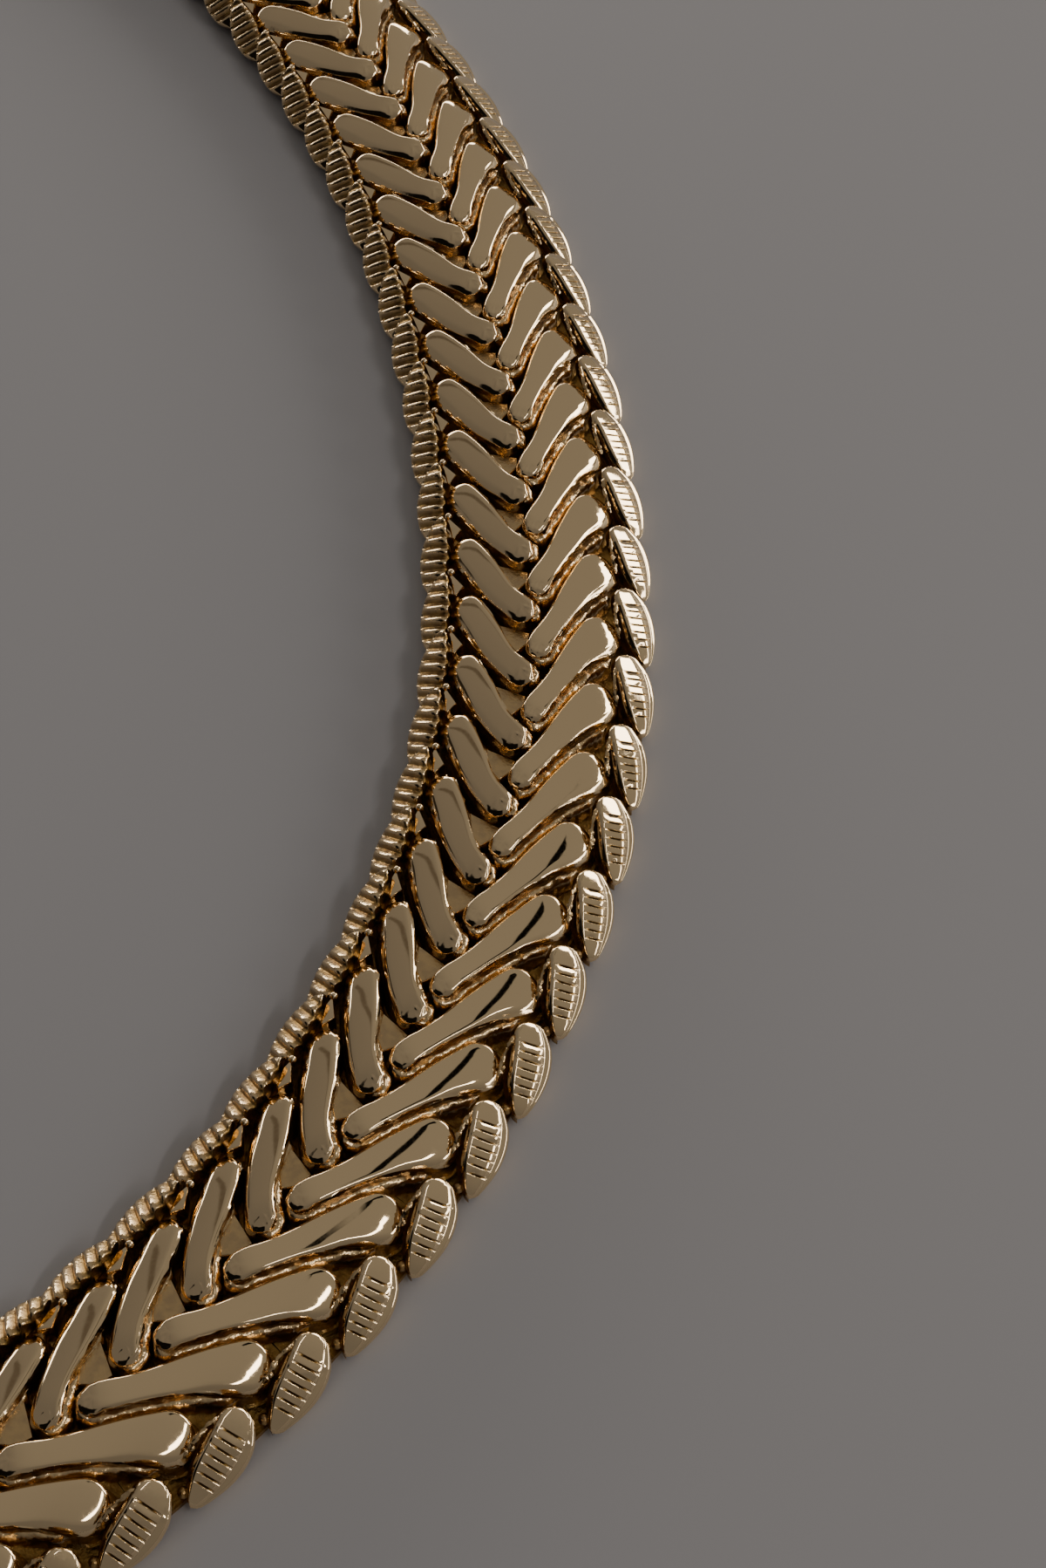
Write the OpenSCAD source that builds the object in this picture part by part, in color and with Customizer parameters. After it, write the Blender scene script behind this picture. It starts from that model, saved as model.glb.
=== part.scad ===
// Braided mesh choker: a closed oval loop of cast chevron links that lies flat,
// with a plain box clasp at the back. The front of the loop faces -Y.

/* [Loop] */
// Spacing of the links along the centre line
pitch = 3.9; // [3.7:0.05:4.2]
// Half the angle that each tight end of the oval turns through
end_half_angle = 67; // [60:1:72]
// Slots at the middle of the back that the clasp takes up
clasp_slots = 4; // [4:2:6]

/* [Roof] */
// Height of the link tops along the seam
seam_top = 3.4; // [3.2:0.05:3.8]
// How far the seam lies inward of the centre line
seam_inset = 0.55; // [0.3:0.05:0.8]
// Fall of the outer pads from the seam
outer_slope = 17.5; // [14:0.5:20]
// Fall of the inner pads from the seam
inner_slope = 22; // [18:0.5:24]

/* [Pads] */
// Radius of an outer pad's wide end
outer_wide_r = 1.03; // [0.95:0.01:1.06]
// Radius of an outer pad's narrow end
outer_narrow_r = 0.64; // [0.58:0.01:0.68]
// Radius of an inner pad's wide end
inner_wide_r = 0.88; // [0.82:0.01:0.92]
// Radius of an inner pad's narrow end
inner_narrow_r = 0.62; // [0.56:0.01:0.66]
// Half width of a pad at its waist
waist_half = 0.6; // [0.52:0.01:0.64]
// How far the ledge under a pad lies below the pad's top
ledge_drop = 0.75; // [0.6:0.05:0.9]
// How far the ledge shows past the pad on its near side
ledge_shift = 0.32; // [0.2:0.02:0.34]

/* [Edge leaves] */
// Length of an outer leaf
outer_leaf_length = 3.5; // [3.3:0.05:3.6]
// Width of an outer leaf
outer_leaf_width = 2.1; // [1.95:0.05:2.2]
// Length of an inner leaf
inner_leaf_length = 3.0; // [2.8:0.05:3.05]
// Width of an inner leaf
inner_leaf_width = 2.0; // [1.8:0.05:2.1]
// Thickness of a leaf
leaf_thick = 0.7; // [0.6:0.05:0.75]
// Radius of the grain in each outer notch
outer_grain_r = 0.3; // [0.26:0.01:0.34]
// Radius of the grain in each inner notch
inner_grain_r = 0.24; // [0.2:0.01:0.26]

/* [Clasp] */
// Height of the clasp along its middle
clasp_top = 2.9; // [2.6:0.05:3.2]
// Half width of the clasp
clasp_half = 5.4; // [5.1:0.05:5.6]

/* [Hidden] */
$fn = 48;
gold = [0.86, 0.74, 0.50];

// The loop: two tight ends and two long sides, all arcs of circles
end_links = 32;
side_links = 20;
side_half_angle = 90 - end_half_angle;
end_r = end_links * pitch * 180 / (2 * end_half_angle * PI);
side_r = side_links * pitch * 180 / (2 * side_half_angle * PI);
end_centre_y = (side_r - end_r) * sin(side_half_angle);
side_centre_x = (side_r - end_r) * cos(side_half_angle);
end_step = 2 * end_half_angle / end_links;
side_step = 2 * side_half_angle / side_links;

// Columns of ARCS: centre x, centre y, radius, angle where it starts, angle per link
CX = 0;
CY = 1;
RADIUS = 2;
START = 3;
STEP = 4;
ARCS = [
    [0, -end_centre_y, end_r, -90 - end_half_angle, end_step],
    [-side_centre_x, 0, side_r, -side_half_angle, side_step],
    [0, end_centre_y, end_r, 90 - end_half_angle, end_step],
    [side_centre_x, 0, side_r, 180 - side_half_angle, side_step]
];
FRONT = ARCS[0];
RIGHT = ARCS[1];
BACK = ARCS[2];
LEFT = ARCS[3];

// Links in each run
front_count = end_links / 4;
side_count = side_links / 2;
back_count = (end_links - clasp_slots) / 4;

// A link in its own plane: x outward across the chain, y along it
outer_wide = [3.08, 0.46];
outer_narrow = [-0.1, -4.88];
inner_wide = [-3.68, -1.72];
inner_narrow = [-1.0, -6.42];
waist_at = 0.66;
slab = 20;

// Leaves lean outward at the edges and turn a little off the chain
leaf_outer = [5.05, 1.28, 1.5];
leaf_inner = [-5.15, -1.55, 1.5];
outer_lean = 37;
inner_lean = 45;
outer_turn = 12;
inner_turn = 8;
grain_outer = [4.8, -0.24, 1.4];
grain_inner = [-4.38, 0.5, 1.76];

// The web that holds an inner grain, and the rails that carry the leaves
web = [[-4.38, 0.46], [-4.65, -0.6], [-4.1, -1.4], [-3.65, -1.2]];
web_top = 1.7;
rail_top = 0.8;
outer_rail = [4.25, 5.1];
inner_rail = [-5.1, -4.15];
outer_rail_from = -0.5;
outer_rail_to = 2.9;
inner_rail_from = -2.7;
inner_rail_to = -0.3;

// The two flat threads that tie the links of a run together, hidden under the pads:
// where each lies across the chain, and where it begins and ends along a link
outer_thread = [-0.5, 0.8];
inner_thread = [-1.85, -0.3];
thread_top = 0.9;
outer_thread_y = -4.7;
inner_thread_y = -6.3;

// A point at part t of the way from p to q, set off sideways by d
function beside(p, q, t, d) =
    let (u = (q - p) / norm(q - p))
    p + t * (q - p) + d * [-u[1], u[0]];

// A footprint: wide end, narrow waist, small end
module footprint(wide, narrow, wide_r, narrow_r, half) {
    translate(wide) circle(wide_r);
    translate(narrow) circle(narrow_r);
    polygon([
        beside(wide, narrow, 0.05, 0.94 * wide_r),
        beside(wide, narrow, waist_at, half),
        beside(wide, narrow, 0.97, 0.94 * narrow_r),
        beside(wide, narrow, 0.97, -0.94 * narrow_r),
        beside(wide, narrow, waist_at, -half),
        beside(wide, narrow, 0.05, -0.94 * wide_r)
    ]);
}

// Everything above a plane that falls from the seam, outward (side 1) or inward (side -1)
module above_roof(side, slope, top) {
    translate([-seam_inset, 0, top])
        rotate([0, side * slope, 0])
            translate([-slab / 2, -slab, 0])
                cube([slab, 2 * slab, slab]);
}

// A pad on its ledge
module pad(wide, narrow, wide_r, narrow_r, side, slope) {
    difference() {
        linear_extrude(seam_top + 1)
            footprint(wide, narrow, wide_r, narrow_r, waist_half);
        above_roof(side, slope, seam_top);
    }
    difference() {
        translate([0, -ledge_shift, 0])
            linear_extrude(seam_top + 1)
                footprint(wide, narrow, wide_r, narrow_r, waist_half);
        above_roof(side, slope, seam_top - ledge_drop);
    }
}

// A leaf: a pointed lobe that leans outward at the edge, turned about the upright
module leaf(place, length, width, lean, turn) {
    r = (pow(length, 2) + pow(width, 2)) / (4 * width);
    shift = r - width / 2;
    translate(place)
        rotate([0, 0, turn])
            rotate([0, lean, 0])
                translate([0, 0, -leaf_thick])
                    linear_extrude(leaf_thick)
                        intersection() {
                            translate([shift, 0]) circle(r, $fn = 96);
                            translate([-shift, 0]) circle(r, $fn = 96);
                        }
}

module link() {
    pad(outer_wide, outer_narrow, outer_wide_r, outer_narrow_r, 1, outer_slope);
    pad(inner_wide, inner_narrow, inner_wide_r, inner_narrow_r, -1, inner_slope);
    leaf(leaf_outer, outer_leaf_length, outer_leaf_width, outer_lean, outer_turn);
    leaf(leaf_inner, inner_leaf_length, inner_leaf_width, -inner_lean, -inner_turn);
    translate(grain_outer) sphere(outer_grain_r);
    translate(grain_inner) sphere(inner_grain_r);
    linear_extrude(web_top) polygon(web);
}

// Puts a link's own plane at slot s of an arc
module at_slot(arc, s) {
    translate([arc[CX], arc[CY], 0])
        rotate([0, 0, arc[START] + (s + 0.5) * arc[STEP]])
            translate([arc[RADIUS], 0, 0])
                children();
}

// A band along an arc between two places measured along the centre line, with a given section
module arc_band(arc, from, to) {
    start = arc[START] + from * 180 / (PI * arc[RADIUS]);
    turn = (to - from) * 180 / (PI * arc[RADIUS]);
    translate([arc[CX], arc[CY], 0])
        rotate([0, 0, start])
            rotate_extrude(angle = turn, $fn = 360)
                translate([arc[RADIUS], 0])
                    children();
}

// A flat bar under the links between two places along an arc: where it lies across, and its top
module bar(arc, from, to, across, top) {
    arc_band(arc, from, to)
        translate([across[0], 0])
            square([across[1] - across[0], top]);
}

// A run of links, one solid
module run(arc, first, count) {
    begin = (first + 0.5) * pitch;
    finish = (first + count - 0.5) * pitch;
    for (k = [first : first + count - 1]) at_slot(arc, k) link();
    bar(arc, begin + outer_thread_y, finish + outer_thread_y, outer_thread, thread_top);
    bar(arc, begin + inner_thread_y, finish + inner_thread_y, inner_thread, thread_top);
    bar(arc, begin + outer_rail_from, finish + outer_rail_to, outer_rail, rail_top);
    bar(arc, begin + inner_rail_from, finish + inner_rail_to, inner_rail, rail_top);
}

module front_run_1() { color(gold) run(FRONT, 0, front_count); }
module front_run_2() { color(gold) run(FRONT, front_count, front_count); }
module front_run_3() { color(gold) run(FRONT, 2 * front_count, front_count); }
module front_run_4() { color(gold) run(FRONT, 3 * front_count, front_count); }
module right_run_1() { color(gold) run(RIGHT, 0, side_count); }
module right_run_2() { color(gold) run(RIGHT, side_count, side_count); }
module back_right_run_1() { color(gold) run(BACK, 0, back_count); }
module back_right_run_2() { color(gold) run(BACK, back_count, back_count); }
module back_left_run_1() { color(gold) run(BACK, end_links - 2 * back_count, back_count); }
module back_left_run_2() { color(gold) run(BACK, end_links - back_count, back_count); }
module left_run_1() { color(gold) run(LEFT, 0, side_count); }
module left_run_2() { color(gold) run(LEFT, side_count, side_count); }

// The clasp: a plain low-domed box whose two ends follow the chevron of the links
module clasp() {
    last = 2 * back_count - 1;
    next = end_links - 2 * back_count;
    color(gold)
        difference() {
            arc_band(BACK, (last + 0.5) * pitch - 5, (next + 0.5) * pitch - 1)
                polygon([
                    [-clasp_half, 0], [clasp_half, 0],
                    [clasp_half, 1.1], [clasp_half - 0.8, 2.0], [0.6, clasp_top],
                    [-0.6, clasp_top], [-clasp_half + 0.8, 2.0], [-clasp_half, 1.1]
                ]);
            at_slot(BACK, last)
                translate([0, 0, -1])
                    linear_extrude(seam_top + 2)
                        polygon([
                            [8, 4.0], [3.7, 4.0], [2.2, 1.6], [-1.0, -3.45],
                            [-2.9, -0.3], [-4.1, 1.6], [-8, 1.6], [-8, -12], [8, -12]
                        ]);
            at_slot(BACK, next)
                translate([0, 0, -1])
                    linear_extrude(seam_top + 2)
                        polygon([
                            [8, -1.3], [5.0, -1.3], [1.0, -6.1], [-0.3, -7.7],
                            [-1.8, -7.7], [-5.0, -3.9], [-8, -3.9], [-8, 12], [8, 12]
                        ]);
        }
}

front_run_1();
front_run_2();
front_run_3();
front_run_4();
right_run_1();
right_run_2();
back_right_run_1();
back_right_run_2();
clasp();
back_left_run_1();
back_left_run_2();
left_run_1();
left_run_2();
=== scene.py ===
import math

import bpy
import numpy as np
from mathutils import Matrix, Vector


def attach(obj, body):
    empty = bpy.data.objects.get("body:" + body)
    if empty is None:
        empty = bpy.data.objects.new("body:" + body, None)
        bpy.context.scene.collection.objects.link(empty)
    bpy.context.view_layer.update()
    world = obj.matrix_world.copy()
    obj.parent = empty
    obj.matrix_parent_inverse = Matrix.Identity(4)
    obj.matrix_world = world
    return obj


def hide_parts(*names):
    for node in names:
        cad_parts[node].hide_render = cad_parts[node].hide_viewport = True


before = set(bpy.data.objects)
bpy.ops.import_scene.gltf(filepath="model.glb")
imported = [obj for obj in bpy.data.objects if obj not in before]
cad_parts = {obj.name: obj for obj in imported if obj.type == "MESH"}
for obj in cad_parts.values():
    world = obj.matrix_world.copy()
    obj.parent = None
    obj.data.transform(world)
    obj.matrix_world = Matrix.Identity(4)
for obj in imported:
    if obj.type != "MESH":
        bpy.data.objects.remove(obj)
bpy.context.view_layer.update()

# The pads. Each link shows two cast brass pads, wide at the edge and waisted towards the
# seam, polished nearly flat on top with a rolled edge. All sizes here are mm in a link's
# own plane, which has x outward across the chain and y along it.

# Every part of a link has a number, kept on its points, so that a run can vary it alone
OUTER_PAD_PART, INNER_PAD_PART = 0, 1
SEAM_TOP = 3.4
SEAM_INSET = 0.55
OUTER_SLOPE = math.tan(math.radians(17.5))
INNER_SLOPE = math.tan(math.radians(22))


def through(places, values, at):
    """A smooth curve through the given values."""
    places, values, at = (np.asarray(v, float) for v in (places, values, at))
    slope = np.gradient(values, places)
    k = np.clip(np.searchsorted(places, at) - 1, 0, len(places) - 2)
    gap = places[k + 1] - places[k]
    t = np.clip((at - places[k]) / gap, 0, 1)
    return (
        values[k] * (2 * t**3 - 3 * t**2 + 1)
        + values[k + 1] * (3 * t**2 - 2 * t**3)
        + slope[k] * gap * (t**3 - 2 * t**2 + t)
        + slope[k + 1] * gap * (t**3 - t**2)
    )


def ease(x):
    """0 up to 0, 1 from 1, and a smooth step between."""
    x = np.clip(x, 0, 1)
    return x * x * (3 - 2 * x)


class Casting:
    """Collects a casting's surfaces: points in mm, faces, and how deep in a crevice each lies,
    which sets its painted shade.
    """

    def __init__(self):
        self.points = []
        self.faces = []
        self.depth = []
        self.part = []

    def add(self, points, faces, depth, part):
        start = len(self.points)
        self.points.extend(map(tuple, points))
        self.faces.extend(tuple(start + i for i in f) for f in faces)
        self.depth.extend(depth)
        self.part.extend([part] * len(points))

    def add_grid(self, grid, depth, part, wrap=False):
        """A sheet of rows of points, closed round when wrap is set."""
        rows, columns = grid.shape[:2]
        last = columns if wrap else columns - 1
        faces = []
        for r in range(rows - 1):
            for c in range(last):
                here, below, beside = r * columns, (r + 1) * columns, (c + 1) % columns
                faces.append((here + c, here + beside, below + beside, below + c))
        self.add(grid.reshape(-1, 3), faces, np.ravel(depth), part)

    def weld(self):
        """Joins points that coincide, and drops faces that close up."""
        keys, kept, new = {}, [], []
        for i, (p, part) in enumerate(zip(self.points, self.part)):
            key = (part, *(round(v, 4) for v in p))
            if key not in keys:
                keys[key] = len(kept)
                kept.append(i)
            new.append(keys[key])
        faces = []
        for f in self.faces:
            g = []
            for i in (new[i] for i in f):
                if i not in g:
                    g.append(i)
            if len(g) > 2:
                faces.append(tuple(g))
        points = np.array([self.points[i] for i in kept])
        depth = np.array([self.depth[i] for i in kept])
        part = np.array([self.part[i] for i in kept])
        return points, faces, depth, part


def roof(x):
    """Height of the polished tops: a low roof that falls both ways from the seam."""
    from_seam = x + SEAM_INSET
    return SEAM_TOP - np.where(from_seam > 0, from_seam * OUTER_SLOPE, -from_seam * INNER_SLOPE)


# Each pad: the middles and radii of its two ends; its half widths on the near and far side,
# from the wide end (0) to the narrow one (1); which way its near side faces; its rolled
# edges' widths on the wide and the narrow half, how far they fall, as a share of that, and
# their width at the tip; how many degrees a mm its top is crowned; how far its far wall
# leans out; and how many degrees its top is turned, from end to end
OUTER_PAD = dict(
    wide=(3.08, 0.46), narrow=(-0.1, -4.88), wide_r=1.04, narrow_r=0.65,
    near=(
        (0, 0.07, 0.17, 0.28, 0.42, 0.58, 0.79, 0.95, 1),
        (1.06, 1.04, 0.9, 0.73, 0.62, 0.55, 0.54, 0.57, 0.6),
    ),
    far=(
        (0, 0.14, 0.25, 0.37, 0.52, 0.67, 0.78, 0.92, 1),
        (1.0, 1.0, 0.96, 0.88, 0.75, 0.64, 0.62, 0.66, 0.66),
    ),
    near_side=(0.83, -0.56), near_bevel=(0.34, 0.12), far_bevel=(0.15, 0.12), fall=0.62,
    tip_bevel=0.22, crown=14, lip=0.0,
    twist=(
        (-0.3, -0.05, 0.1, 0.27, 0.4, 0.52, 0.7, 1.2),
        (-10, -5.4, 1.2, 5.4, 9.0, 12.6, 14.5, 14.5),
    ),
)
INNER_PAD = dict(
    wide=(-3.68, -1.72), narrow=(-1.0, -6.42), wide_r=0.86, narrow_r=0.7,
    near=((0, 0.17, 0.41, 0.58, 0.76, 0.91, 1), (0.8, 0.77, 0.63, 0.48, 0.38, 0.48, 0.6)),
    far=((0, 0.08, 0.29, 0.56, 0.81, 1), (0.76, 0.83, 0.91, 0.94, 0.9, 0.76)),
    near_side=(0.88, 0.47), near_bevel=(0.24, 0.2), far_bevel=(0.4, 0.22), fall=0.7,
    tip_bevel=0.22, crown=7, lip=0.08,
    twist=((-0.3, 0.5, 1.2), (0, 0, 0)),
)


def pad_outline(pad, cap=9, body=17):
    """The outline in the link's plane, with the spine point under each outline point."""
    wide, narrow = np.array(pad["wide"]), np.array(pad["narrow"])
    length = np.linalg.norm(narrow - wide)
    along = (narrow - wide) / length
    across = np.array([-along[1], along[0]])
    a = np.concatenate([
        -pad["wide_r"] * np.cos(np.linspace(0, math.pi / 2, cap, endpoint=False)),
        np.linspace(0, length, body),
        length + pad["narrow_r"] * np.sin(np.linspace(0, math.pi / 2, cap)[1:]),
    ])
    past_end = np.minimum(a, 0) / pad["wide_r"] + np.maximum(a - length, 0) / pad["narrow_r"]
    round_end = np.sqrt(np.clip(1 - past_end**2, 0, 1))
    near = through(*pad["near"], np.clip(a / length, 0, 1)) * round_end
    far = through(*pad["far"], np.clip(a / length, 0, 1)) * round_end
    spine = np.clip(a, 0.15, length - 0.1)
    points = np.concatenate([
        wide + a[:, None] * along + near[:, None] * across,
        (wide + a[:, None] * along - far[:, None] * across)[-2:0:-1],
    ])
    middle = wide + spine[:, None] * along
    middle = np.concatenate([middle, middle[-2:0:-1]])
    reach = np.concatenate([a, a[-2:0:-1]]) / length
    tangent = np.roll(points, -1, 0) - np.roll(points, 1, 0)
    outward = np.stack([tangent[:, 1], -tangent[:, 0]], 1)
    outward /= np.linalg.norm(outward, axis=1)[:, None]
    if np.sum((points - middle) * outward) < 0:
        outward = -outward
    return points, middle, outward, reach


PAD_FOOT = 0.6
PAD_LIFT = 0.05
# The wall below the rolled edge: how far out, how far down, and how deep in the crevice, which sets
# its painted shade
PAD_WALL = ((0.07, 0.95, 0.9), (0.02, 0.42, 0.7), (0, 0.24, 0.45))
# Where rings lie across the rolled edge, and then across the top to the spine
EDGE_STEPS = (0, 0.16, 0.34, 0.55, 0.78, 1.0)
TOP_STEPS = (0.24, 0.6, 1.0)
# How the top falls: in degrees a mm round the wide end, and in mm along the narrow half, at
# its tip and in the tip's dents
WIDE_END_CROWN = 9
SAG, TIP_DROP, TIP_DENT = 0.09, 0.3, 0.02


def add_pad(casting, pad, part):
    """Rings from the foot up the wall, over the rolled edge and in to the spine."""
    points, middle, outward, reach = pad_outline(pad)
    side = outward @ np.array(pad["near_side"])
    narrowing = ease((reach - 0.15) / 0.35)
    near, far = (a + (b - a) * narrowing for a, b in (pad["near_bevel"], pad["far_bevel"]))
    span = np.linalg.norm(points - middle, axis=1)
    edge = far + (near - far) * ease(0.5 + 0.7 * side)
    edge = edge + (pad["tip_bevel"] - edge) * ease((reach - 0.98) / 0.08)
    edge = np.minimum(edge, 0.5 * span)
    lip = pad["lip"] * ease(-side * 1.4)
    axis = np.array(pad["narrow"], float) - np.array(pad["wide"])
    length = np.linalg.norm(axis)
    axis /= length
    rings, depth = [], []

    def ring(t, out, drop, deep):
        """t from the outline (0) to the spine (1), moved outward by out and down by drop."""
        t = np.broadcast_to(t, (len(points),))
        out = np.broadcast_to(out, (len(points),))
        place = points * (1 - t)[:, None] + middle * t[:, None] + out[:, None] * outward
        offset = place - np.array(pad["wide"])
        s = np.clip(offset @ axis / length, -0.3, 1.2)
        across = offset @ np.array([-axis[1], axis[0]])
        turn = np.radians(through(*pad["twist"], s))
        past_wide = np.clip((0.12 - s) * length, 0, None)
        crown = np.radians(pad["crown"]) * across**2 / 2
        crown = crown + np.radians(WIDE_END_CROWN) * past_wide**2 / 2
        rounding = pad["fall"] * edge * (1 - np.minimum(t * span / edge, 1)) ** 1.6
        z = roof(place[:, 0]) + PAD_LIFT - rounding + turn * across - crown - drop
        z = z - SAG * np.clip((s - 0.3) / 0.7, 0, 2) ** 2
        z = z - TIP_DROP * ease((s - 0.86) / 0.26) ** 1.5
        x, y = place.T
        z = z + TIP_DENT * ease((s - 0.84) / 0.12) * np.sin(x * 19 + y * 7) * np.sin(y * 17 - x * 5)
        rings.append(np.column_stack([place, z]))
        depth.append(np.full(len(points), deep))

    rings.append(np.column_stack([middle, np.full(len(middle), PAD_FOOT)]))
    depth.append(np.ones(len(points)))
    ring(0, 0.2 + lip, 0, 1.0)
    rings[-1][:, 2] = PAD_FOOT
    for out, drop, deep in PAD_WALL:
        ring(0, out + lip, drop, deep)
    ring(0, lip * 0.6, 0.17, 0.3)
    ring(0, 0.012, 0.07, 0.25)
    # The rolled edge gets a little painted shade towards the wall
    for u in EDGE_STEPS:
        ring(u * edge / span, 0, 0, 0.15 * (1 - u) ** 2)
    for u in TOP_STEPS:
        ring(edge / span * (1 - u) + u, 0, 0, 0)
    casting.add_grid(np.array(rings), np.array(depth), part, wrap=True)


link = Casting()
add_pad(link, OUTER_PAD, OUTER_PAD_PART)
add_pad(link, INNER_PAD, INNER_PAD_PART)

# The ledges. Under each pad's near side the casting steps down to a rough brass ledge,
# plated with the rest but never polished, so it glitters in the crevice.
OUTER_LEDGE_PART, INNER_LEDGE_PART, ROUGH_LINE_PART = 2, 3, 12
LEDGE_DROP = 0.62
LEDGE_OUT = 0.34
# The ledge's section: how far out from the pad's outline, and how far down
LEDGE_SECTION = (
    (-0.3, 0.0), (0.03, 0.0), (0.16, 0.05), (0.27, 0.16), (0.34, 0.34), (0.36, 1.0), (-0.3, 1.0),
)


def add_bar(casting, grid, deep, part):
    """A closed bar from rows of points round it, with both ends closed."""
    caps = [np.repeat(grid[k].mean(0)[None, None], grid.shape[1], 1) for k in (0, -1)]
    grid = np.concatenate([caps[0], grid, caps[1]])
    casting.add_grid(grid, np.full(grid.shape[:2], deep), part, wrap=True)


def add_ledge(casting, pad, part, begin, count=40):
    """A rough bar on a pad's near side, from part begin of its length to the narrow tip."""
    points, middle, outward, reach = pad_outline(pad, cap=14, body=40)
    near = slice(0, len(points) // 2 + 1)
    keep = np.nonzero(reach[near] > begin)[0]
    path, out = points[near][keep], outward[near][keep]
    run = np.concatenate([[0], np.cumsum(np.linalg.norm(np.diff(path, axis=0), axis=1))])
    at = np.linspace(0, run[-1], count)
    path = np.column_stack([np.interp(at, run, path[:, k]) for k in (0, 1)])
    out = np.column_stack([np.interp(at, run, out[:, k]) for k in (0, 1)])
    out /= np.linalg.norm(out, axis=1)[:, None]
    taper = ease(at / 0.5) * ease((run[-1] - at) / 0.3) * 0.85 + 0.15
    widest = max(shift for shift, drop in LEDGE_SECTION)
    grid = []
    for shift, drop in LEDGE_SECTION:
        move = np.where(shift > 0, shift * taper * LEDGE_OUT / widest, shift)
        place = path + move[:, None] * out
        grid.append(np.column_stack([place, roof(path[:, 0]) - LEDGE_DROP - drop]))
    grid = np.array(grid).transpose(1, 0, 2)
    # The ledge's crevice value of 0.4 gives it some painted shade
    add_bar(casting, grid, 0.4, part)


def add_rough_line(casting, path, size, part, count=22, deep=0.45):
    """A thin uneven line of metal left by the mould, along a path of x, y, z corners."""
    path = np.array(path, float)
    run = np.concatenate([[0], np.cumsum(np.linalg.norm(np.diff(path, axis=0), axis=1))])
    at = np.linspace(0, run[-1], count)
    path = np.column_stack([through(run, path[:, k], at) for k in range(3)])
    tangent = np.gradient(path, axis=0)
    out = np.stack([tangent[:, 1], -tangent[:, 0]], 1)
    out /= np.linalg.norm(out, axis=1)[:, None]
    fade = np.minimum(1, ease(at / 0.3) * ease((run[-1] - at) / 0.3) + 0.2)
    lumps = size * (0.75 + 0.35 * np.sin(at * 13.1 + part) * np.sin(at * 5.3)) * fade
    grid = []
    for turn in range(6):
        a = turn * math.pi / 3
        level = path[:, :2] + (lumps * math.cos(a))[:, None] * out
        grid.append(np.column_stack([level, path[:, 2] + lumps * math.sin(a)]))
    add_bar(casting, np.array(grid).transpose(1, 0, 2), deep, part)


ROUGH_LINE = [(4.06, 0.4, 1.85), (3.88, 1.2, 2.12), (3.84, 2.1, 2.25), (3.95, 3.0, 2.25)]
add_ledge(link, OUTER_PAD, OUTER_LEDGE_PART, 0.1)
add_ledge(link, INNER_PAD, INNER_LEDGE_PART, 0.25)
add_rough_line(link, ROUGH_LINE, 0.13, ROUGH_LINE_PART)

# The leaves. Plump pointed leaves of the same casting line both edges, each leaning
# outward, with a smooth rolled rim and grooves cut across the middle; the inner ones are
# cut so deep that they turn into round ribs.
OUTER_LEAF_PART, INNER_LEAF_PART = 4, 5
# Each leaf: its top and bottom tips; where its rim points; how far it slants; its widths
# on the rim's and the pad's side, from the top down; its section from the pad's side (-1)
# to the rim (1); and its grooves: spacing, first place, number, depth, half a groove's
# shape, the part of the section that they cross, and how deep a crevice they count as,
# which sets the painted shade in them
OUTER_LEAF = dict(
    top_tip=(4.2, 3.4, 2.05), bottom_tip=(5.42, -0.5, 0.55),
    rim_side=(0.775, 0.245, -0.585), slant=0.1,
    rim_width=(
        (0, 0.14, 0.45, 0.9, 1.57, 2.35, 3.22, 3.7, 3.95, 4.06),
        (0, 0.5, 0.86, 1.18, 1.32, 1.2, 0.8, 0.5, 0.28, 0.0),
    ),
    pad_width=(
        (0, 0.12, 0.4, 0.9, 1.5, 1.95, 2.5, 3.1, 3.55, 3.9, 4.06),
        (0, 0.44, 0.74, 0.84, 0.84, 0.84, 0.82, 0.7, 0.5, 0.26, 0.0),
    ),
    section=(
        (-1, -0.96, -0.9, -0.82, -0.76, -0.3, 0.15, 0.5, 0.55, 0.6, 0.7, 0.8, 0.91, 1),
        (0.06, 0.25, 0.355, 0.4, 0.405, 0.408, 0.412, 0.408, 0.372, 0.376, 0.4, 0.385, 0.24, -0.1),
    ),
    gap=0.38, first=-1.15, grooves=7, cut=0.09, groove=((0, 1), (0.035, 0.9), (0.065, 0)),
    across=(-0.74, 0.42), painted_groove_shade=1.7,
)
INNER_LEAF = dict(
    top_tip=(-4.66, 0.3, 2.36), bottom_tip=(-5.46, -3.75, 0.62),
    rim_side=(-0.76, 0.3, -0.55), slant=0,
    rim_width=(
        (0, 0.2, 0.55, 1.2, 2.2, 3.1, 3.9, 4.48),
        (0, 0.42, 0.7, 1.0, 1.18, 1.02, 0.62, 0.0),
    ),
    pad_width=(
        (0, 0.2, 0.55, 1.2, 2.2, 3.1, 3.9, 4.48),
        (0, 0.2, 0.34, 0.56, 0.76, 0.7, 0.4, 0.0),
    ),
    section=(
        (-1, -0.93, -0.8, -0.6, -0.3, 0, 0.3, 0.55, 0.72, 0.86, 0.95, 1),
        (0.2, 0.29, 0.37, 0.41, 0.425, 0.425, 0.42, 0.4, 0.33, 0.2, 0.04, -0.14),
    ),
    gap=0.62, first=-1.3, grooves=6, cut=0.2,
    groove=((0, 1), (0.07, 0.83), (0.15, 0.4), (0.23, 0.05)), across=(-1.3, 0.9), painted_groove_shade=0.9,
)
# Grooves closer than this are thin cuts with flat metal between them, not round ribs
RIB_GAP = 0.5
# Rows from the last groove to each tip
TIP_ROWS = 7


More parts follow.
